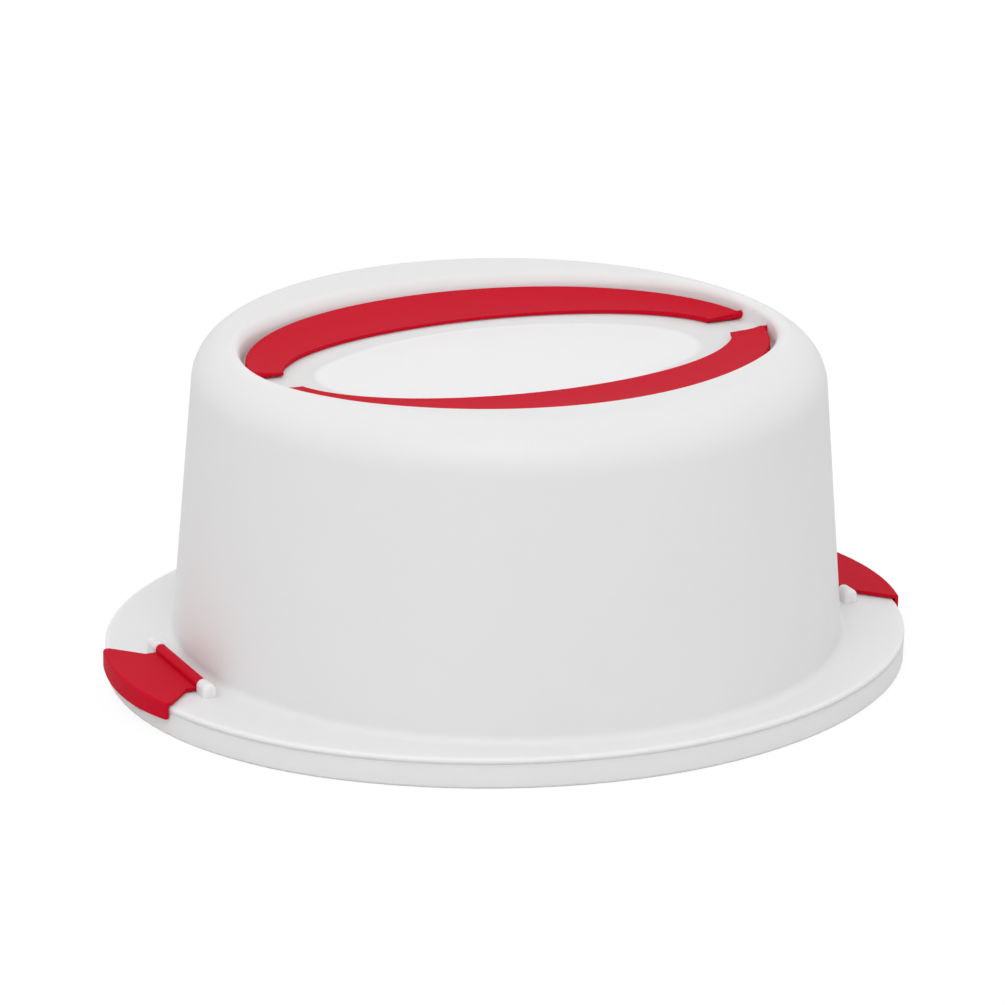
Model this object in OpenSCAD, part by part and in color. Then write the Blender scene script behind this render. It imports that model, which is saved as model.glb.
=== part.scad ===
// Cake carrier. A round domed lid with a flat oval flange stands on an oval tray. Two latches,
// hinged on the flange, fold down over the tray's rim. Two crescent handles lie folded in an oval
// recess in the top of the dome and swing up on pins that are moulded on their ends.
// Millimetres. The origin lies under the middle of the tray, X runs through both latches, Z is up.

/* [Dome] */
// Radius of the dome's outside at its foot, on the flange
dome_foot_r = 141.3; // [136:0.1:147]
// Lean of the dome's wall from upright, in degrees
dome_draft = 4.5; // [3:0.1:6]
// Height of the carrier, to the crest of the shoulder
total_h = 141.5; // [120:0.5:170]
// Radius of the rounded shoulder
shoulder_r = 19.4; // [14:0.1:21]
// Radius of the fillet between the dome and its flange
foot_fillet_r = 4.5; // [3:0.1:5]
// Slope of the top down to the recess, in degrees
top_slope = 4.5; // [2:0.1:5]
// Thickness of the lid's walls
lid_wall = 2; // [1.4:0.1:2.6]
// Thickness of the flange
flange_t = 2.4; // [2.4:0.1:3.2]
// Reach of the flange beyond the dome's foot, at the latches
flange_end_reach = 30; // [28:0.1:34]
// Reach of the flange beyond the dome's foot, at the front and back
flange_side_reach = 13; // [11.5:0.1:18]

/* [Tray] */
// Height of the tray's deck, on which the flange and the cake stand
deck_z = 10.8; // [10.4:0.2:16]
// Half the tray's width less the radius of its two ends
tray_end_step = 10.8; // [8:0.1:20]
// Thickness of the deck and of the side wall
tray_wall = 2.2; // [1.8:0.1:2.8]
// Lean of the side wall from upright, in degrees
side_draft = 1; // [0.5:0.5:5]
// Height of the ring that centres the lid, above the deck
ring_h = 3.2; // [1.5:0.1:6]
// Width of that ring
ring_w = 2.4; // [1.6:0.1:4]
// Distance of the ring that the carrier stands on inside the dome's foot
foot_ring_inset = 3.3; // [0:0.1:10]
// Width of that ring
foot_ring_w = 4; // [2:0.1:6]
// Distance from one ring-shaped rib under the deck to the next
rib_pitch = 30; // [24:1:34]
// Number of straight ribs under the deck
rib_count = 12; // [6:2:20]
// Thickness of the ribs
rib_t = 1.6; // [1.2:0.1:2.4]
// Height of the ribs' lower edges above the ground
rib_lift = 1; // [0.5:0.1:3]
// Width of the pocket in the side wall behind each latch's toe
pocket_w = 28; // [20:1:34]
// Depth of that pocket
pocket_depth = 1.1; // [0.5:0.1:1.3]
// Height of that pocket
pocket_h = 6; // [4:0.1:7]
// Thickness of the rim's lip above that pocket
rim_lip = 0.8; // [0.6:0.1:1.2]

/* [Recess] */
// Distance of the recess's ends inside the dome's foot
recess_end_inset = 23.3; // [22.5:0.1:30]
// Distance of the recess's long sides inside the dome's foot
recess_side_inset = 52.3; // [47:0.1:58]
// Half the recess's width less the radius of its two ends
recess_end_step = 13; // [10:0.5:18]
// Depth of the ledge that the handles lie on, below the crest of the shoulder
ledge_depth = 9.5; // [8.5:0.1:12]
// Lean of the recess's wall from upright, in degrees
recess_draft = 8; // [3:1:12]
// Radius of the rounded lip round the recess
lip_r = 1.8; // [1:0.1:2]
// Length of the slope from the ledge's inner edge to the flat floor, at the ends
floor_end_run = 15.3; // [10:0.1:24]
// The same at the sides
floor_side_run = 5.8; // [4:0.1:10]
// Drop from the ledge to the floor
floor_drop = 2; // [1:0.1:4]

/* [Handles] */
// Width of a folded handle at its middle
band_side_w = 33.9; // [28:0.1:38]
// Distance from the outer to the inner edge of the folded handles, at their ends
band_end_w = 13.2; // [11:0.1:18]
// Half the width of the open oval inside the folded handles less the radius of its two ends
grip_end_step = 18.4; // [12:0.1:24]
// Thickness of a handle at its outer edge
handle_t = 3.7; // [3.4:0.1:4.6]
// Fall of its upper face towards the inner edge
handle_fall = 2.4; // [0.5:0.1:2.8]
// Distance of each handle's pivot from the middle
pivot_y = 12; // [8:0.5:15]
// Radius of a handle's pins
handle_pin_r = 1.7; // [1.3:0.05:1.7]
// Length of pin inside its socket
pin_grip = 3; // [2:0.1:4]

/* [Latches] */
// Distance of a latch's hinge outside the dome's foot
hinge_reach = 6.7; // [6.2:0.1:8]
// Length of the hinge barrel
barrel_length = 45.6; // [38:0.2:50]
// Radius of the hinge barrel
barrel_r = 2.4; // [2:0.1:2.8]
// Radius of the pins on the barrel's ends
latch_pin_r = 1.4; // [1:0.05:1.6]
// Thickness of a latch
latch_t = 1.5; // [1.3:0.1:1.6]
// Width of a latch at its outer edge
latch_width = 70; // [60:0.5:71]
// Reach of a latch beyond the tray's end, at its middle
latch_reach = 3.1; // [3:0.1:5]
// Radius of a latch's outer edge, seen from above
latch_edge_r = 118; // [118:1:150]
// Distance from a latch's hinge to where its sides begin to flare
flare_reach = 7; // [6:0.1:9]
// Angle of the flare from the tray's length
flare_angle = 47; // [35:1:60]
// Reach of the skirt's lower edge below the tray's deck
skirt_drop = 3.8; // [3:0.1:5]
// Rise of that edge from the middle to the ends
skirt_arch = 1; // [0:0.1:2]
// Length of the bosses that carry the hinge
boss_length = 8.6; // [7:0.1:12]

/* [Clearances] */
// Gap between a folded handle and the ledge, and between a latch's toe and the rim
seat_gap = 0.3; // [0.25:0.05:0.5]
// Gap between a closed latch and the flange under it
latch_gap = 0.5; // [0.3:0.05:0.8]
// Gap between the folded handles and the recess's wall, at their ends
handle_end_gap = 4.5; // [3.5:0.1:6]
// Gap between the folded handles and the recess's wall, at their middles
handle_side_gap = 1.7; // [1:0.1:4]
// Gap round each pin in its socket
pin_gap = 0.05; // [0.02:0.01:0.1]
// Gap between the centring ring and the dome
ring_gap = 0.5; // [0.3:0.1:1.5]
// Gap at the ends of the hinge barrels and of the pins
end_gap = 0.4; // [0.3:0.1:1]

/* [Hidden] */
$fn = 120;
oval_steps = 24;
shoulder_steps = 20;
edge_steps = 3;
flange_steps = 4;
eps = 0.01;

// tray
half_length = dome_foot_r + flange_end_reach;
half_width = dome_foot_r + flange_side_reach;
tray_end_r = half_width - tray_end_step;
side_lean = deck_z * tan(side_draft);
side_edge_r = 1.5;
deck_under_z = deck_z - tray_wall;
foot_ring_r = dome_foot_r - foot_ring_inset;
first_rib_r = rib_pitch / 2;
outermost_rib_r = foot_ring_r - foot_ring_w - rib_pitch / 2;
pocket_top_z = deck_z - rim_lip;

// dome and flange
flange_top_z = deck_z + flange_t;
flange_edge_r = 2.2;
flange_chamfer = 0.2;
dome_inset = lid_wall / cos(dome_draft);
shoulder_z = total_h - shoulder_r;
shoulder_x = dome_r(shoulder_z) - shoulder_r / cos(dome_draft);
foot_z = flange_top_z + foot_fillet_r;
foot_x = dome_r(foot_z) + foot_fillet_r / cos(dome_draft);
ring_r = dome_r(deck_z + ring_h) - dome_inset - ring_gap;

// recess
recess_half_l = dome_foot_r - recess_end_inset;
recess_half_w = dome_foot_r - recess_side_inset;
recess_end_r = recess_half_w - recess_end_step;
ledge_z = total_h - ledge_depth;

// handles and their sockets
handle_half_l = recess_half_l - handle_end_gap;
handle_half_w = recess_half_w - handle_side_gap;
grip_half_l = handle_half_l - band_end_w;
grip_half_w = handle_half_w - band_side_w;
grip_end_r = grip_half_w - grip_end_step;
handle_z = ledge_z + seat_gap;
handle_edge_r = 0.8;
handle_steps = 48;
pivot_z = handle_z + handle_t / 2;
heel_angles = [70, 45, 22];
pin_root = 1.2;
pin_hole_x = oval_out(pivot_y);
pin_tip_x = oval_x(recess_half_l, recess_end_r, pivot_y) + pin_grip;
socket_r = handle_pin_r + pin_gap;
socket_wall = 2.2;

// latches
latch_z = flange_top_z + latch_gap;
latch_top_z = latch_z + latch_t;
latch_hinge_x = dome_foot_r + hinge_reach;
hinge_z = latch_z + barrel_r;
latch_edge_x = half_length + latch_reach - latch_edge_r;
skirt_r = latch_edge_r - latch_t;
skirt_z = deck_z - skirt_drop;
fold_r = 1.2;
skirt_steps = 10;
toe_x = half_length + seat_gap;
toe_width = pocket_w - 4;
toe_z = skirt_z + 0.25;
toe_top_z = pocket_top_z - 0.15;
boss_r = barrel_r + 0.5;
boss_y = barrel_length / 2 + end_gap;
latch_pin_length = boss_length - 2;

// Radius of the dome's outside at a height.
function dome_r(z) = dome_foot_r - (z - flange_top_z) * tan(dome_draft);

// Points of a round stretch of an outline, from one angle to just short of another.
function arc(centre, r, a0, a1, steps) =
    [for (i = [0:steps - 1]) let (a = a0 + (a1 - a0) * i / steps) centre + r * [cos(a), sin(a)]];

// The same with both its ends.
function full_arc(centre, r, a0, a1, steps) =
    concat(arc(centre, r, a0, a1, steps), [centre + r * [cos(a1), sin(a1)]]);

// An oval is four arcs that meet without a corner: two ends and two longer sides.
function side_r(half_l, half_w, end_r) =
    ((half_l - end_r) ^ 2 + half_w ^ 2 - end_r ^ 2) / (2 * (half_w - end_r));
function oval_x(half_l, end_r, y) = half_l - end_r + sqrt(end_r ^ 2 - y ^ 2);
function oval_points(half_l, half_w, end_r) =
    let (
        long_r = side_r(half_l, half_w, end_r),
        meet = atan2(long_r - half_w, half_l - end_r),
        half = concat(arc([half_l - end_r, 0], end_r, -meet, meet, oval_steps),
            arc([0, half_w - long_r], long_r, meet, 180 - meet, oval_steps)))
    concat(half, -half);

// The outline of an oval at a height, grown outwards by a width.
function oval_ring(half_l, half_w, end_r, grow, z) =
    [for (p = oval_points(half_l + grow, half_w + grow, end_r + grow)) [each p, z]];

// A solid lofted through rings of equally many points. Seen against the direction of travel, the
// points of each ring run clockwise.
module loft(rings) {
    count = len(rings[0]);
    last = len(rings) - 1;
    polyhedron(
        points = [for (ring = rings) each ring],
        faces = concat(
            [[for (j = [count - 1:-1:0]) j]],
            [for (i = [0:last - 1], j = [0:count - 1]) each let (
                k = (j + 1) % count, here = i * count, next = here + count)
                [[here + j, next + k, next + j], [here + j, here + k, next + k]]],
            [[for (j = [0:count - 1]) last * count + j]]));
}

// A bar of round section along X.
module x_bar(r, x0, x1, y, z) {
    translate([x0, y, z]) rotate([0, 90, 0]) cylinder(r = r, h = x1 - x0);
}

// A bar of round section along Y.
module y_bar(r, y0, y1, x, z) {
    translate([x, y0, z]) rotate([-90, 0, 0]) cylinder(r = r, h = y1 - y0);
}

// The tray: a flat deck, a leaning side wall and a ring that centres the lid. The underside has
// ring-shaped and straight ribs, and the carrier stands on a wider ring and on the side wall.
module tray() {
    color("white") difference() {
        union() {
            tray_shell();
            rotate_extrude() ring_profile();
            rotate_extrude() translate([foot_ring_r - foot_ring_w, 0])
                square([foot_ring_w, deck_under_z + eps]);
            translate([0, 0, rib_lift]) linear_extrude(deck_under_z + eps - rib_lift) rib_plan();
        }
        for (side = [-1, 1]) scale([side, 1, 1])
            translate([half_length - pocket_depth, -pocket_w / 2, pocket_top_z - pocket_h])
                cube([10, pocket_w, pocket_h]);
    }
}

// From the deck's top down the outside, round the lower edge and up the inside to the deck again.
module tray_shell() {
    levels = concat(
        [[0, deck_z]],
        full_arc([-side_lean - side_edge_r, side_edge_r], side_edge_r, -side_draft, -90, edge_steps),
        [[-side_lean - tray_wall, 0], [-tray_wall, deck_under_z]]);
    loft([for (level = levels) tray_ring(level.x, level.y)]);
}

function tray_ring(grow, z) = oval_ring(half_length, half_width, tray_end_r, grow, z);

module ring_profile() {
    chamfer = 0.8;
    top = deck_z + ring_h;
    polygon([[ring_r - ring_w, deck_under_z + 1], [ring_r, deck_under_z + 1], [ring_r, top - chamfer],
        [ring_r - chamfer, top], [ring_r - ring_w + chamfer, top], [ring_r - ring_w, top - chamfer]]);
}

// The ribs seen from above, with their outer ends inside the side wall.
module rib_plan() {
    inset = side_lean + tray_wall / 2;
    intersection() {
        union() {
            for (r = [first_rib_r:rib_pitch:outermost_rib_r]) difference() {
                circle(r + rib_t);
                circle(r);
            }
            for (i = [0:rib_count - 1]) rotate([0, 0, i * 360 / rib_count])
                translate([first_rib_r + rib_t / 2, -rib_t / 2]) square([half_length, rib_t]);
        }
        polygon(oval_points(half_length - inset, half_width - inset, tray_end_r - inset));
    }
}

// The lid: a thin dome on a flat flange, with the recess, the handles' sockets and the bosses of
// the latches' hinges.
module lid() {
    color("whitesmoke") difference() {
        union() {
            difference() {
                union() {
                    rotate_extrude() dome_profile();
                    flange();
                }
                difference() {
                    rotate_extrude() cavity_profile();
                    recess_lining();
                }
            }
            for (x = [-1, 1], y = [-1, 1]) scale([x, y, 1]) socket_boss();
            for (x = [-1, 1], y = [-1, 1]) scale([x, y, 1]) hinge_boss();
        }
        recess();
        for (x = [-1, 1], y = [-1, 1]) scale([x, y, 1]) {
            x_bar(socket_r, pin_hole_x, pin_tip_x + end_gap, pivot_y, pivot_z);
            y_bar(latch_pin_r + pin_gap, boss_y - eps, boss_y + latch_pin_length, latch_hinge_x, hinge_z);
        }
    }
}

module dome_profile() {
    polygon(concat(
        [[0, deck_z], [foot_x, deck_z]],
        full_arc([foot_x, foot_z], foot_fillet_r, 270, 180 + dome_draft, 2 * edge_steps),
        full_arc([shoulder_x, shoulder_z], shoulder_r, dome_draft, 90 + top_slope, shoulder_steps),
        [[0, top_z(shoulder_r)]]));
}

module cavity_profile() {
    polygon(concat(
        [[0, deck_z - 1], [dome_r(deck_z - 1) - dome_inset, deck_z - 1]],
        full_arc([shoulder_x, shoulder_z], shoulder_r - lid_wall, dome_draft, 90 + top_slope,
            shoulder_steps),
        [[0, top_z(shoulder_r - lid_wall)]]));
}

// Height at the middle of a top that leaves a shoulder of radius r on the top's slope.
function top_z(r) = shoulder_z + r * cos(top_slope)
    - (shoulder_x - r * sin(top_slope)) * tan(top_slope);

module flange() {
    levels = concat(
        full_arc([-flange_edge_r, flange_top_z - flange_edge_r], flange_edge_r, 90, 0, flange_steps),
        [[0, deck_z + flange_chamfer], [-flange_chamfer, deck_z]]);
    loft([for (level = levels) tray_ring(level.x, level.y)]);
}

// The recess: a rounded lip, a leaning wall down to a ledge, and a dish inside the ledge.
module recess() {
    loft(concat(
        [recess_ring(2 * lip_r + 1, total_h + 1)],
        [for (a = [0, 45, 90]) lip_ring(a)],
        [recess_ring(0, ledge_z)], dish_rings(0)));
}

// The same without its lip, and larger by the thickness of the lid's wall on all sides.
module recess_lining() {
    high_z = total_h + 1;
    low_z = ledge_z - lid_wall;
    loft(concat(
        [recess_ring(lid_wall + (high_z - low_z) * tan(recess_draft), high_z)],
        [recess_ring(lid_wall, low_z)], dish_rings(lid_wall)));
}

function recess_ring(grow, z) = oval_ring(recess_half_l, recess_half_w, recess_end_r, grow, z);
function dish_rings(grow) = [
    oval_ring(grip_half_l, grip_half_w, grip_end_r, grow, ledge_z - grow),
    oval_ring(grip_half_l - floor_end_run, grip_half_w - floor_side_run, grip_end_r - floor_side_run,
        grow, ledge_z - grow - floor_drop)];

// One outline of the lip, which follows the top's height: at 90 degrees its radius below the top,
// where the wall begins, and at 0 a little above the top, clear of the dome's surface.
function lip_ring(a) =
    let (
        inner = oval_points(recess_half_l, recess_half_w, recess_end_r),
        outer = oval_points(recess_half_l + 1, recess_half_w + 1, recess_end_r + 1),
        along = a == 0 ? [2 * lip_r, lip_r * tan(22.5)] : lip_r * [1 - sin(a), cos(a) - 1])
    [for (j = [0:len(inner) - 1]) let (
        n = outer[j] - inner[j],
        z = top_at(norm(inner[j] + lip_r * n)) + along.y,
        grow = along.x + (z - ledge_z) * tan(recess_draft))
        [each inner[j] + grow * n, z]];

// Height of the dome's top at a distance from its middle.
function top_at(r) = r < shoulder_x - shoulder_r * sin(top_slope)
    ? top_z(shoulder_r) + r * tan(top_slope)
    : shoulder_z + sqrt(shoulder_r ^ 2 - (r - shoulder_x) ^ 2);

module socket_boss() {
    x_bar(socket_r + socket_wall, pin_hole_x, pin_tip_x + end_gap + socket_wall, pivot_y, pivot_z);
}

module hinge_boss() {
    y_bar(boss_r, boss_y, boss_y + boss_length, latch_hinge_x, hinge_z);
    translate([latch_hinge_x - boss_r, boss_y, deck_z + flange_t / 2])
        cube([2 * boss_r, boss_length, hinge_z - deck_z - flange_t / 2]);
}

// One handle, folded: a crescent that widens to its middle, with round heels and a pin at each end.
module handle() {
    body = [for (i = [0:handle_steps]) handle_section(i / handle_steps)];
    loft(concat(
        [for (a = heel_angles) heel_section(body[0], a)],
        body,
        [for (i = [len(heel_angles) - 1:-1:0]) heel_section(body[handle_steps], heel_angles[i])]));
    for (side = [-1, 1]) scale([side, 1, 1])
        x_bar(handle_pin_r, oval_out(pivot_y) - pin_root, pin_tip_x, pivot_y, pivot_z);
}

// An end section turned into the heel, so that its height shrinks round the pivot.
function heel_section(section, a) =
    [for (p = section) [p.x, p.y - handle_t / 2 * sin(a), pivot_z + (p.z - pivot_z) * cos(a)]];

// X of the folded handles' outer edge at a distance from the middle.
function oval_out(y) = handle_half_l * sqrt(1 - (y / handle_half_w) ^ 2);

// Section across the crescent, 0 at its right end and 1 at its left end: flat below, with a
// rounded outer edge, and an upper face that falls inwards and levels out.
function handle_section(along) =
    let (
        from_in = asin(pivot_y / grip_half_w),
        from_out = asin(pivot_y / handle_half_w),
        angle_in = from_in + along * (180 - 2 * from_in),
        angle_out = from_out + along * (180 - 2 * from_out),
        inner = [grip_half_l * cos(angle_in), grip_half_w * sin(angle_in)],
        outer = [handle_half_l * cos(angle_out), handle_half_w * sin(angle_out)],
        width = norm(outer - inner),
        fall = handle_fall * sqrt(width / band_side_w),
        top = handle_z + handle_t,
        at = function (across, z) [each inner + (outer - inner) * across / width, z])
    concat(
        [at(0, handle_z), at(width, handle_z), at(width, top - handle_edge_r)],
        [for (a = [30:30:90])
            at(width - handle_edge_r * (1 - cos(a)), top - handle_edge_r * (1 - sin(a)))],
        [for (i = [1:4]) at((width - handle_edge_r) * (1 - i / 4), top - fall * (1 - (1 - i / 4) ^ 2))]);

// One latch, closed: a hinge barrel with a pin at each end, a thin plate that flares outwards, and a
// curved skirt over the tray's rim with a toe inside it.
module latch() {
    y_bar(barrel_r, -barrel_length / 2, barrel_length / 2, latch_hinge_x, hinge_z);
    y_bar(latch_pin_r, -boss_y - latch_pin_length + end_gap, boss_y + latch_pin_length - end_gap,
        latch_hinge_x, hinge_z);
    intersection() {
        translate([latch_edge_x, 0, 0]) rotate_extrude($fn = 360) latch_section();
        linear_extrude(hinge_z + 10) latch_plan();
        translate([half_length + 10, 0, 0]) rotate([90, 0, -90]) linear_extrude(60) latch_front();
    }
    translate([0, toe_width / 2, 0]) rotate([90, 0, 0]) linear_extrude(toe_width) toe_section();
}

// From the centre of the latch's outer edge outwards.
module latch_section() {
    polygon(concat(
        [[latch_edge_r / 2, latch_z], [skirt_r, latch_z], [skirt_r, 0], [latch_edge_r, 0]],
        full_arc([latch_edge_r - fold_r, latch_top_z - fold_r], fold_r, 0, 90, 2 * edge_steps),
        [[latch_edge_r / 2, latch_top_z]]));
}

module toe_section() {
    root_x = latch_edge_x + skirt_r + latch_t / 4;
    polygon([[root_x, toe_z], [toe_x, toe_z + 0.3], [toe_x, toe_top_z - 0.3], [root_x, toe_top_z]]);
}

// The latch seen from above: as wide as the barrel at the hinge, then flaring past the bosses.
module latch_plan() {
    flare_x = latch_hinge_x + flare_reach;
    corner_x = flare_x + (latch_width - barrel_length) / 2 / tan(flare_angle);
    polygon([for (side = [-1, 1]) each let (
        edge = [[latch_hinge_x - barrel_r / 2, side * barrel_length / 2],
            [flare_x, side * barrel_length / 2], [corner_x, side * latch_width / 2],
            [half_length + 10, side * latch_width / 2]])
        side < 0 ? edge : [edge[3], edge[2], edge[1], edge[0]]]);
}

// The latch seen from its outer end: the skirt's lower edge rises from the middle to the ends.
module latch_front() {
    half = latch_width / 2;
    polygon(concat(
        [for (i = [0:skirt_steps]) let (y = -half + i * latch_width / skirt_steps)
            [y, skirt_z + skirt_arch * (y / half) ^ 2]],
        [[half, hinge_z + 5], [-half, hinge_z + 5]]));
}

module front_handle() {
    color("crimson") scale([1, -1, 1]) handle();
}

module back_handle() {
    color("crimson") handle();
}

module left_latch() {
    color("crimson") scale([-1, 1, 1]) latch();
}

module right_latch() {
    color("crimson") latch();
}

tray();
lid();
front_handle();
back_handle();
left_latch();
right_latch();
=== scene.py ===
"""A cake carrier: an oval tray, a round milky dome that lifts off it, two crescent handles that
lie folded in the dome's top, and two latches at the ends of the oval. Z is up and X runs through
the latches. Lengths are metres, but the lid's sizes are millimetres until its meshes are made."""
import math

import bmesh
import bpy
import numpy as np
from mathutils import Matrix, Vector


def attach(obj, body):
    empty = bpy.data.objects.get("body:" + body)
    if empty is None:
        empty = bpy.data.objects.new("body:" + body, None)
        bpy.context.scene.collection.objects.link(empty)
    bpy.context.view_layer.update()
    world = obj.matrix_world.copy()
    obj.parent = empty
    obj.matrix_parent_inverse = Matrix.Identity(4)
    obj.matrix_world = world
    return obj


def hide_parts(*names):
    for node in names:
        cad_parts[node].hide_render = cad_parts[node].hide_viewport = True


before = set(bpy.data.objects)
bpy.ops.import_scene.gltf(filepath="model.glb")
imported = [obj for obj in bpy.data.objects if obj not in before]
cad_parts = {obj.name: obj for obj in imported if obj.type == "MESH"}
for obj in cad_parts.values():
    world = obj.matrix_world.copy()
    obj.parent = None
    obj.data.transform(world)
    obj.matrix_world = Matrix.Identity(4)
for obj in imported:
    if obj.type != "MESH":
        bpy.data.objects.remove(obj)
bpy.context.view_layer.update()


# The tray. White injection-moulded polypropylene, opaque, with a satin skin that takes fine
# scratches where it is wiped and slid along shelves.

class Signal:
    """An output of a node. Arithmetic on it adds the Math nodes that work it out."""

    def __init__(self, nodes, socket):
        self.nodes, self.socket = nodes, socket

    def math(self, operation, *values):
        """What a Math node with that operation makes of the values."""
        return self.nodes.node("ShaderNodeMath", {"operation": operation}, dict(enumerate(values)))

    def __add__(self, other):
        return self.math("ADD", self, other)

    def __radd__(self, other):
        return self.math("ADD", other, self)

    def __sub__(self, other):
        return self.math("SUBTRACT", self, other)

    def __rsub__(self, other):
        return self.math("SUBTRACT", other, self)

    def __mul__(self, other):
        return self.math("MULTIPLY", self, other)

    def __rmul__(self, other):
        return self.math("MULTIPLY", other, self)

    def clamped(self):
        """The signal held between 0 and 1."""
        return self.math("MINIMUM", self.math("MAXIMUM", self, 0.0), 1.0)


class Nodes:
    """The node tree of a material, of the world or of a modifier."""

    def __init__(self, tree):
        self.tree = tree

    def feed(self, socket, value):
        """Links a signal to a socket, or sets the socket to a number, colour, vector or word."""
        if isinstance(value, Signal):
            self.tree.links.new(value.socket, socket)
        elif socket.type == "RGBA":
            socket.default_value = (*value, 1.0)
        else:
            socket.default_value = value

    def node(self, kind, settings=None, sockets=None, output=0):
        """Adds a node of that kind. Its settings come first, then the values or links of its
        sockets, by name or number. The output with that name or number is given back."""
        node = self.tree.nodes.new(kind)
        for name, value in (settings or {}).items():
            setattr(node, name, value)
        for name, value in (sockets or {}).items():
            self.feed(node.inputs[name], value)
        return Signal(self, node.outputs[output])


class Finish(Nodes):
    """A material round one Principled shader, whose constants are set on its own sockets."""

    def __init__(self, name, **constants):
        self.material = bpy.data.materials.new(name)
        self.material.use_nodes = True
        super().__init__(self.material.node_tree)
        self.shader = self.tree.nodes["Principled BSDF"]
        for socket, value in constants.items():
            self.drive(socket.replace("_", " "), value)
        self.place = self.node("ShaderNodeTexCoord", output="Object")

    def noise(self, scale, detail, axes=(1.0, 1.0, 1.0)):
        """Noise from 0 to 1 on the object's own coordinates, which are first multiplied by axes:
        a number under 1 draws the noise out along that axis."""
        place = self.node("ShaderNodeMapping", sockets={"Vector": self.place, "Scale": axes})
        return self.node("ShaderNodeTexNoise",
                         sockets={"Vector": place, "Scale": scale, "Detail": detail})

    def blend(self, amount, first, second):
        """The first colour where amount is 0 and the second where it is 1. Socket 0 of a Mix node
        is its amount, 6 and 7 are its colours, and output 2 is the mixed colour."""
        return self.node("ShaderNodeMix", {"data_type": "RGBA"},
                         {0: amount, 6: first, 7: second}, output=2)

    def drive(self, socket, value):
        """Links a signal to a socket of the shader, or sets that socket."""
        self.feed(self.shader.inputs[socket], value)

    def bump(self, height, distance, strength):
        """Tilts the skin's normals as if it rose by the height, from 0 to 1, times a distance."""
        self.drive("Normal", self.node("ShaderNodeBump", sockets={
            "Height": height, "Distance": distance, "Strength": strength}))


def dress(piece, finish):
    """Puts a finish in all of a piece's material slots."""
    if not piece.data.materials:
        piece.data.materials.append(finish.material)
    for at in range(len(piece.data.materials)):
        piece.data.materials[at] = finish.material


def skin_modifier(name, crease):
    """A node group that joins a CAD node's loose triangles and shades them as one round skin, which
    stays sharp only along edges where two faces meet at more than the crease angle, in degrees."""
    group = bpy.data.node_groups.new(name, "GeometryNodeTree")
    for direction in ("INPUT", "OUTPUT"):
        group.interface.new_socket("Geometry", in_out=direction, socket_type="NodeSocketGeometry")
    nodes = Nodes(group)
    loose = nodes.node("NodeGroupInput")
    skin = nodes.node("GeometryNodeMergeByDistance", sockets={0: loose, "Distance": 2e-6})
    for old in ("custom_normal", "sharp_edge", "sharp_face"):
        skin = nodes.node("GeometryNodeRemoveAttribute", sockets={0: skin, "Name": old})
    angle = nodes.node("GeometryNodeInputMeshEdgeAngle", output="Unsigned Angle")
    sharp = nodes.node("FunctionNodeCompare", {"operation": "GREATER_THAN"},
                       {0: angle, 1: math.radians(crease)})
    skin = nodes.node("GeometryNodeSetShadeSmooth", {"domain": "FACE"}, {0: skin})
    skin = nodes.node("GeometryNodeSetShadeSmooth", {"domain": "EDGE"},
                      {0: skin, "Selection": sharp, "Shade Smooth": False})
    group.links.new(skin.socket, group.nodes.new("NodeGroupOutput").inputs[0])
    return group


def round_off(piece, skin):
    """Shades a CAD node with a skin group, and weights its normals by the size of the faces."""
    piece.modifiers.new("skin", "NODES").node_group = skin
    piece.modifiers.new("even_normals", "WEIGHTED_NORMAL").keep_sharp = True


dull_white, clean_white = (0.755, 0.75, 0.75), (0.795, 0.79, 0.79)
satin, scuffing = 0.36, 0.12
moulded = skin_modifier("moulded_skin", crease=50.0)
white = Finish("white_polypropylene", Roughness=0.42, Specular_IOR_Level=0.35,
               Subsurface_Weight=0.5, Subsurface_Radius=(0.006, 0.006, 0.006),
               Subsurface_Scale=1.0)
cloudy = white.noise(scale=9.0, detail=4.0)
scuffs = white.noise(scale=420.0, detail=2.0, axes=(1.0, 0.12, 1.0))
white.drive("Base Color", white.blend(cloudy, dull_white, clean_white))
white.drive("Roughness", satin + scuffing * scuffs)
white.bump(white.noise(scale=1500.0, detail=2.0), distance=0.00002, strength=0.3)
dress(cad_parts["tray"], white)
round_off(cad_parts["tray"], moulded)


# The lid. One thin moulding of milky, translucent polypropylene: a round dome with a soft shoulder,
# an oval recess in its top and a flat oval flange. The recess's lip is broad and soft at the sides
# and narrows to the ends. Sockets for the handles' pins and bosses for the latches' stand on it.

wall = 2.0
foot_r, foot_z, foot_fillet = 141.3, 13.2, 4.5
draft = math.radians(4.5)
shoulder_r, crest_z = 19.4, 141.5
shoulder_z = crest_z - shoulder_r
shoulder_x = foot_r - (shoulder_z - foot_z) * math.tan(draft) - shoulder_r / math.cos(draft)
shoulder_start = math.radians(55)
top_slope = math.radians(3.4)
lip_r_at_ends, lip_growth = 4.2, 3.4
recess_lean, recess_run = math.radians(8.0), 1.0
ledge_z, ledge_fillet, floor_drop = 132.0, 1.2, 2.0
flange_bottom_z, rim_r, rim_chamfer = 10.8, 1.4, 0.25
hollow_r = foot_r - (flange_bottom_z - foot_z) * math.tan(draft) - wall / math.cos(draft)

# An oval is half its length, half its width and the radius of its ends.
rim_oval, recess_oval = (171.3, 154.3, 143.5), (114.5, 89.0, 76.0)
ledge_oval, floor_oval = (100.3, 53.4, 35.0), (79.0, 45.5, 27.5)
around = np.linspace(0.0, 2 * np.pi, 384, endpoint=False)

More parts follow.
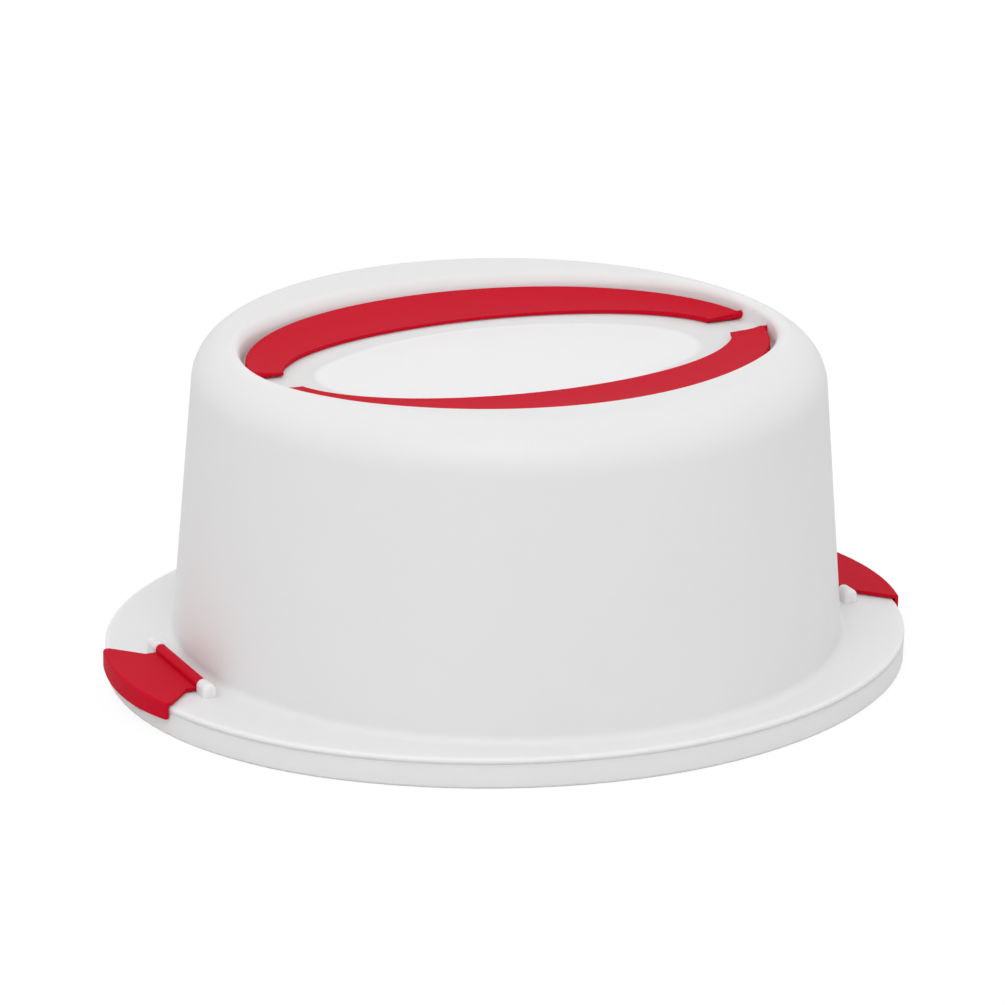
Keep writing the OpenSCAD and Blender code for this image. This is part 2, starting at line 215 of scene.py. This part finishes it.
# The handles' pins turn on lines at pivot_y and pivot_z, the latches' at hinge_x and hinge_z.
pivot_y, pivot_z = 12.0, 134.15
socket_x, socket_end_x, socket_r = 115.1, 122.6, 3.95
handle_hole_x, handle_hole_end_x, handle_hole_r = 112.0, 120.4, 1.75
hinge_x, hinge_z = 148.0, 16.1
latch_hole_y, latch_hole_end_y, latch_hole_r = 22.8, 29.8, 1.45
boss_y, boss_length, boss_r, boss_rounding, boss_foot_z = 23.2, 8.6, 2.9, 1.0, 12.0
quarters = [(x, y, 1) for x in (-1, 1) for y in (-1, 1)]


def oval(shape, grow=0.0):
    """Distance from the middle to an oval, all the way round. Two arcs round points on the long
    axis make its ends, two larger arcs round points on the short axis make its sides, and each pair
    meets where the line through both centres cuts it. Growing adds the same length to every arc."""
    half_length, half_width, end_r = (size + grow for size in shape)
    along, across = np.abs(np.cos(around)), np.abs(np.sin(around))
    shift = half_length - end_r
    side_r = (shift ** 2 + half_width ** 2 - end_r ** 2) / (2 * (half_width - end_r))
    drop = side_r - half_width
    meet = np.arctan2(drop, shift)
    join = np.arctan2(end_r * np.sin(meet), shift + end_r * np.cos(meet))
    end = shift * along + np.sqrt(np.maximum(end_r ** 2 - (shift * across) ** 2, 0.0))
    side = np.sqrt(side_r ** 2 - (drop * along) ** 2) - drop * across
    return np.where(np.arctan2(across, along) < join, end, side)


def top(radius, under=0.0):
    """Height of the top at a distance from the middle: the shoulder's arc, and inside it a cone
    that is tangent to it and falls inwards. Under gives the face that much below it."""
    arc_r = shoulder_r - under
    edge = shoulder_x - arc_r * math.sin(top_slope)
    cone = shoulder_z + arc_r * math.cos(top_slope) + (radius - edge) * math.tan(top_slope)
    arc = shoulder_z + np.sqrt(np.maximum(arc_r ** 2 - (radius - shoulder_x) ** 2, 0.0))
    return np.where(radius < edge, cone, arc)


def steps(count):
    """Equal steps from 0, which is left out, to 1."""
    return np.linspace(0.0, 1.0, count + 1)[1:]


def straight(first, last, count):
    """Rings on the straight line from one ring, left out, to another."""
    return [(first[0] + (last[0] - first[0]) * t, first[1] + (last[1] - first[1]) * t)
            for t in steps(count)]


def over(first, last, count, height):
    """Rings from one outline, left out, to another, each at the height that its outline has."""
    outlines = [first + (last - first) * t for t in steps(count)]
    return [(outline, height(outline)) for outline in outlines]


def lid_skin(under):
    """Rings of the outer skin, or of the skin that lies under it by the wall's thickness, from the
    middle of the floor outwards: floor, slope, ledge, wall, lip, top and shoulder. The slope rises
    by 3 t squared - 2 t cubed. The lip is a quarter circle laid along the recess's outline, whose
    radius grows from the oval's ends to its sides with the square of the sine of the angle."""
    lip = lip_r_at_ends + lip_growth * np.sin(around) ** 2
    wall_top = top(oval(recess_oval, recess_run)) - lip
    lean = (wall_top - ledge_z) * math.tan(recess_lean)
    floor_edge, ledge_edge = oval(floor_oval, under), oval(ledge_oval, under)
    wall_foot = oval(recess_oval, under - ledge_fillet)
    floor_z = ledge_z - floor_drop - under
    rings = [(floor_edge * t, floor_z) for t in (0.3, 0.6, 0.85, 1.0)]
    rings += [(floor_edge + (ledge_edge - floor_edge) * t,
               floor_z + floor_drop * t * t * (3 - 2 * t)) for t in steps(8)]
    rings += over(ledge_edge, wall_foot, 4, lambda outline: ledge_z - under)
    rings += [(oval(recess_oval, under - ledge_fillet * (1 - np.sin(b))),
               ledge_z - under + ledge_fillet * (1 - np.cos(b)))
              for b in np.radians((30, 60, 84))]
    rings += [(oval(recess_oval, under + lean * t), ledge_z - under + (wall_top - ledge_z) * t)
              for t in (0.5, 0.8)]
    for b in np.radians(np.linspace(90, 0, 13)):
        outline = oval(recess_oval, lean + under + (lip - under) * (1 - np.sin(b)))
        rings.append((outline, top(outline, under) - (lip - under) * (1 - np.cos(b))))
    arc_r = shoulder_r - under
    rings += over(rings[-1][0], shoulder_x + arc_r * math.cos(shoulder_start) + 0 * around, 12,
                  lambda outline: top(outline, under))
    rings += [(shoulder_x + arc_r * math.cos(b), shoulder_z + arc_r * math.sin(b))
              for b in np.linspace(shoulder_start, draft, 18)[1:]]
    return rings


def flange_skin(start):
    """Rings from the end of the shoulder down the dome's wall and out over the flange: a straight
    wall, a fillet at its foot, the flange's face, its rounded rim and the chamfer under it."""
    fillet_z = foot_z + foot_fillet
    fillet_x = foot_r - (fillet_z - foot_z) * math.tan(draft) + foot_fillet / math.cos(draft)
    wall_foot = (fillet_x - foot_fillet * math.cos(draft), fillet_z + foot_fillet * math.sin(draft))
    rings = straight(start, wall_foot, 8)
    rings += [(fillet_x - foot_fillet * math.cos(b), fillet_z - foot_fillet * math.sin(b))
              for b in np.linspace(-draft, math.pi / 2, 13)[1:]]
    rings += over(rings[-1][0], oval(rim_oval, -rim_r), 8, lambda outline: foot_z)
    rings += [(oval(rim_oval, -rim_r * (1 - math.cos(b))), foot_z - rim_r * (1 - math.sin(b)))
              for b in np.radians(np.linspace(90, 0, 10))[1:]]
    rings += [(oval(rim_oval, -rim_chamfer * (1 - math.cos(b))),
               flange_bottom_z + rim_chamfer * (1 - math.sin(b)))
              for b in np.radians((30, 60, 90))]
    return rings


def surface_of(rings, low_z, high_z):
    """Points and faces of a closed skin through rings of equally many points, from a pole at one
    height to a pole at another. A ring is its distances from the middle and its heights."""
    count = len(around)
    distance = np.array([ring[0] + 0 * around for ring in rings])
    height = np.array([ring[1] + 0 * around for ring in rings])
    points = np.stack([distance * np.cos(around), distance * np.sin(around), height], -1)
    points = np.vstack([points.reshape(-1, 3), [(0, 0, low_z), (0, 0, high_z)]]) / 1000
    here = np.arange(count)
    beside = (here + 1) % count
    row = np.arange(len(rings) - 1)[:, None] * count
    quads = np.stack([row + here, row + count + here, row + count + beside, row + beside], -1)
    last = (len(rings) - 1) * count
    pole = 0 * here + len(rings) * count
    first_fan = np.stack([pole, here, beside], -1)
    last_fan = np.stack([pole + 1, last + beside, last + here], -1)
    return points, quads.reshape(-1, 4).tolist() + first_fan.tolist() + last_fan.tolist()


def bar(start, end, radius):
    """Points and faces of a level round bar between two points: two circles at right angles to the
    line that joins them, each a cosine along one side of that line and a sine along the other."""
    ahead = (end - start) / np.linalg.norm(end - start)
    side = np.cross(ahead, (0.0, 0.0, 1.0))
    sides = 48
    turn = np.linspace(0, 2 * np.pi, sides, endpoint=False)[:, None]
    circle = radius * (np.cos(turn) * side + np.sin(turn) * np.cross(ahead, side))
    at = np.arange(sides)
    after = (at + 1) % sides
    walls = np.stack([at, at + sides, after + sides, after], -1)
    return (np.vstack([start + circle, end + circle]) / 1000,
            walls.tolist() + [at.tolist(), (at[::-1] + sides).tolist()])


def bars(start, end, radius):
    """A bar between two points and its mirror images in the other three quarters of the lid."""
    return [bar(np.multiply(start, side), np.multiply(end, side), radius) for side in quarters]


def boss():
    """The boss of a latch's hinge: an arch with a round top on upright sides, carried along Y. The
    arch draws in to each end of its length along a quarter circle, so that the ends are rounded."""
    b = np.radians((0, 30, 60, 90))
    start, drawn_in = boss_rounding * (1 - np.cos(b)), boss_rounding * (1 - np.sin(b))
    along = np.concatenate([start, boss_length - start[::-1]])
    inset = np.concatenate([drawn_in, drawn_in[::-1]])
    turn = np.radians(np.linspace(180, 0, 25))
    foot = [boss_foot_z - hinge_z]
    arch_x = np.concatenate([[-boss_r], boss_r * np.cos(turn), [boss_r]])
    arch_z = np.concatenate([foot, boss_r * np.sin(turn), foot])
    scale = (boss_r - inset[:, None]) / boss_r
    return np.stack([hinge_x + arch_x * scale, boss_y + along[:, None] + 0 * arch_x,
                     hinge_z + np.where(arch_z < 0, arch_z, arch_z * scale)], -1)


def closed_grid(points):
    """Points and faces of a skin through rows of points, each a closed outline, with a flat cap at
    each end."""
    rows, count = points.shape[:2]
    at = np.arange(count)
    after = (at + 1) % count
    row = np.arange(rows - 1)[:, None] * count
    quads = np.stack([row + at, row + after, row + count + after, row + count + at], -1)
    caps = [at[::-1].tolist(), (at + (rows - 1) * count).tolist()]
    return points.reshape(-1, 3) / 1000, quads.reshape(-1, 4).tolist() + caps


def several(parts):
    """Joins the points and faces of several closed shapes."""
    points, faces, count = [], [], 0
    for part_points, part_faces in parts:
        points.append(part_points)
        faces += [[at + count for at in face] for face in part_faces]
        count += len(part_points)
    return np.vstack(points), faces


def new_piece(name, points, faces):
    """A piece from the points and faces of closed shapes, with all faces turned outwards."""
    mesh = bpy.data.meshes.new(name)
    mesh.from_pydata(points.tolist(), [], faces)
    shell = bmesh.new()
    shell.from_mesh(mesh)
    bmesh.ops.recalc_face_normals(shell, faces=shell.faces)
    shell.to_mesh(mesh)
    shell.free()
    piece = bpy.data.objects.new(name, mesh)
    bpy.context.scene.collection.objects.link(piece)
    return piece


def carve(piece, tool, operation):
    """Adds another closed piece to a piece, or cuts it out, and throws that other piece away."""
    step = piece.modifiers.new(operation.lower(), "BOOLEAN")
    step.operation, step.solver, step.object = operation, "MANIFOLD", tool
    evaluated = piece.evaluated_get(bpy.context.evaluated_depsgraph_get())
    carved = bpy.data.meshes.new_from_object(evaluated)
    piece.modifiers.clear()
    used_up = (piece.data, tool.data)
    piece.data = carved
    carved.name = piece.name
    bpy.data.objects.remove(tool)
    for mesh in used_up:
        bpy.data.meshes.remove(mesh)


outer, inner = lid_skin(0.0), lid_skin(wall)
outer += flange_skin(outer[-1])
outer += over(outer[-1][0], hollow_r + 0 * around, 4, lambda outline: flange_bottom_z)
climb = straight((hollow_r, flange_bottom_z), inner[-1], 8)[:-1]
lid = new_piece("lid_dome", *surface_of(outer + climb + inner[::-1], ledge_z - floor_drop,
                                        ledge_z - floor_drop - wall))
sockets = bars((socket_x, pivot_y, pivot_z), (socket_end_x, pivot_y, pivot_z), socket_r)
bosses = [closed_grid(boss() * side) for side in quarters]
carve(lid, new_piece("sockets", *several(sockets + bosses)), "UNION")
holes = bars((handle_hole_x, pivot_y, pivot_z), (handle_hole_end_x, pivot_y, pivot_z),
             handle_hole_r)
holes += bars((hinge_x, latch_hole_y, hinge_z), (hinge_x, latch_hole_end_y, hinge_z),
              latch_hole_r)
carve(lid, new_piece("pin_holes", *several(holes)), "DIFFERENCE")
lid.data.shade_smooth()
lid.data.set_sharp_from_angle(angle=math.radians(35))


def rises(signal, start, steepness):
    """A mask that is 0 up to a start, and rises from there to 1 by so much a metre."""
    return ((signal - start) * steepness).clamped()


def falls(signal, end, steepness):
    """A mask that falls from 1 by so much a metre to 0 at an end, and stays 0."""
    return ((end - signal) * steepness).clamped()


dull_milk, clear_milk = (0.750, 0.745, 0.750), (0.80, 0.795, 0.80)
# Painted shade: the recess's ledge and slope are coloured darker than the plain milk, in place of
# the shade that falls there.
painted_shade_ledge, painted_light_floor = (0.71, 0.708, 0.715), (0.86, 0.86, 0.875)
milky_satin, streaking = 0.36, 0.10
recess_reach = 0.108
ledge_from, ledge_to = 0.1302, 0.1334
# Painted light: the recess's floor, between these heights, is coloured brighter than the plain
# milk, in place of the light it catches.
floor_from, floor_to = 0.127, 0.1306
milky = Finish("milky_polypropylene", Roughness=0.42, Specular_IOR_Level=0.35,
               Subsurface_Weight=0.5, Subsurface_Radius=(0.008, 0.008, 0.008),
               Subsurface_Scale=1.0)
level = milky.node("ShaderNodeVectorMath", {"operation": "MULTIPLY"},
                   {0: milky.place, 1: (1.0, 1.0, 0.0)})
from_middle = milky.node("ShaderNodeVectorMath", {"operation": "LENGTH"}, {0: level}, "Value")
height = milky.node("ShaderNodeSeparateXYZ", sockets={0: milky.place}, output="Z")
in_recess = falls(from_middle, recess_reach, steepness=500)
# Mask of the painted shade: the ledge and slope inside the recess, picked by height.
painted_shade_mask = (in_recess * rises(height, ledge_from, steepness=2500)
            * falls(height, ledge_to, steepness=1200))
# Mask of the painted light: the floor of the recess, picked by height.
painted_light_mask = (in_recess * falls(height, floor_to, steepness=2500)
            * rises(height, floor_from, steepness=2000))
plain = milky.blend(milky.noise(scale=7.0, detail=4.0), dull_milk, clear_milk)
# The ledge and slope take the darker colour, which is painted shade.
ledge_shade_painted = milky.blend(painted_shade_mask, plain, painted_shade_ledge)
streaks = milky.noise(scale=380.0, detail=2.0, axes=(1.0, 1.0, 0.15))
# The recess's floor takes the brighter colour, which is painted light.
milky.drive("Base Color", milky.blend(painted_light_mask, ledge_shade_painted, painted_light_floor))
milky.drive("Roughness", milky_satin + streaking * streaks)
milky.bump(milky.noise(scale=1300.0, detail=2.0), distance=0.00002, strength=0.25)
dress(lid, milky)
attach(lid, "lid")
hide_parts("lid")


# The handles. Two crescents of opaque red polypropylene with a matt skin, each with a pin moulded
# on both ends, which is sprung into a socket in the wall of the lid's recess.

deep_red, bright_red = (0.49, 0.002, 0.015), (0.55, 0.004, 0.021)
matt, rubbing = 0.50, 0.12
red = Finish("red_polypropylene", Roughness=0.55, Specular_IOR_Level=0.04)
rubbed = red.noise(scale=500.0, detail=2.0, axes=(0.2, 1.0, 1.0))
red.drive("Base Color", red.blend(red.noise(scale=14.0, detail=4.0), deep_red, bright_red))
red.drive("Roughness", matt + rubbing * rubbed)
red.bump(red.noise(scale=1600.0, detail=2.0), distance=0.00002, strength=0.3)
for name in ("front_handle", "back_handle"):
    dress(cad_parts[name], red)
    round_off(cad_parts[name], moulded)


# The latches. Flared plates of the same red polypropylene, with a pin on both ends of the barrel,
# sprung between two bosses on the lid's flange, and a toe that snaps under the tray's rim.

for name in ("left_latch", "right_latch"):
    dress(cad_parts[name], red)
    round_off(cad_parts[name], moulded)


# The studio. A floor of pale paper, which the camera sees as white and which keeps the shadow, an
# even white sky, and one large soft lamp above and in front, to the left.

floor_reach = 6
glow_share = 0.8
sky_light, sky_seen_extra = 0.92, 0.08
floor_corners = [(x * floor_reach, y * floor_reach, 0)
                 for x, y in ((-1, -1), (1, -1), (1, 1), (-1, 1))]
floor_mesh = bpy.data.meshes.new("floor")
floor_mesh.from_pydata(floor_corners, [], [(0, 1, 2, 3)])
floor = bpy.data.objects.new("floor", floor_mesh)
bpy.context.scene.collection.objects.link(floor)
paper = Finish("paper_floor", Base_Color=(0.72, 0.72, 0.72), Roughness=0.9)
glow = paper.node("ShaderNodeEmission", sockets={"Strength": 1.08})
seen = paper.node("ShaderNodeLightPath", output="Is Camera Ray")
lit = Signal(paper, paper.shader.outputs[0])
shown = paper.node("ShaderNodeMixShader", sockets={0: seen * glow_share, 1: lit, 2: glow})
paper.feed(paper.tree.nodes["Material Output"].inputs["Surface"], shown)
dress(floor, paper)

world = bpy.data.worlds.new("sky")
world.use_nodes = True
bpy.context.scene.world = world
sky = Nodes(world.node_tree)
seen = sky.node("ShaderNodeLightPath", output="Is Camera Ray")
background = world.node_tree.nodes["Background"]
sky.feed(background.inputs["Color"], (1.0, 1.0, 1.0))
sky.feed(background.inputs["Strength"], seen * sky_seen_extra + sky_light)

lamp = bpy.data.lights.new("softbox", "AREA")
lamp.shape = "SQUARE"
lamp.size = 1.4
lamp.energy = 11.5
lamp_aim = Vector((0, 0, 0.07))
softbox = bpy.data.objects.new("softbox", lamp)
softbox.location = (-0.68, -1.18, 1.5)
softbox.rotation_euler = (lamp_aim - softbox.location).to_track_quat("-Z", "Y").to_euler()
bpy.context.scene.collection.objects.link(softbox)


# The camera, solved from the outlines in the photograph: 2.44 m from the middle of the carrier,
# 18 degrees above the horizon, and 25 degrees round to the left of straight in front. The size of
# the square photograph, the focal length and the shift of the middle are in pixels.

aim, distance = Vector((0.0, 0.0, 0.080)), 2.4418
azimuth, elevation, roll = math.radians(-25.0), math.radians(18.26), math.radians(0.612)
photo_size, focal_length, shift_right, shift_up = 1005, 5821.5, -5.89, -26.77
back = Vector((math.sin(azimuth) * math.cos(elevation), -math.cos(azimuth) * math.cos(elevation),
               math.sin(elevation)))
level_right = Vector((math.cos(azimuth), math.sin(azimuth), 0.0))
right = Matrix.Rotation(roll, 3, back) @ level_right
up = back.cross(right)
eye = aim + distance * back
view = bpy.data.cameras.new("view")
view.sensor_width = 36.0
view.lens = focal_length / photo_size * view.sensor_width
view.shift_x = shift_right / photo_size
view.shift_y = shift_up / photo_size
view.clip_start, view.clip_end = 0.1, 50.0
camera = bpy.data.objects.new("camera", view)
camera.matrix_world = Matrix((
    (right.x, up.x, back.x, eye.x),
    (right.y, up.y, back.y, eye.y),
    (right.z, up.z, back.z, eye.z),
    (0, 0, 0, 1)))
bpy.context.scene.collection.objects.link(camera)
bpy.context.scene.camera = camera
bpy.context.scene.view_settings.view_transform = "Standard"
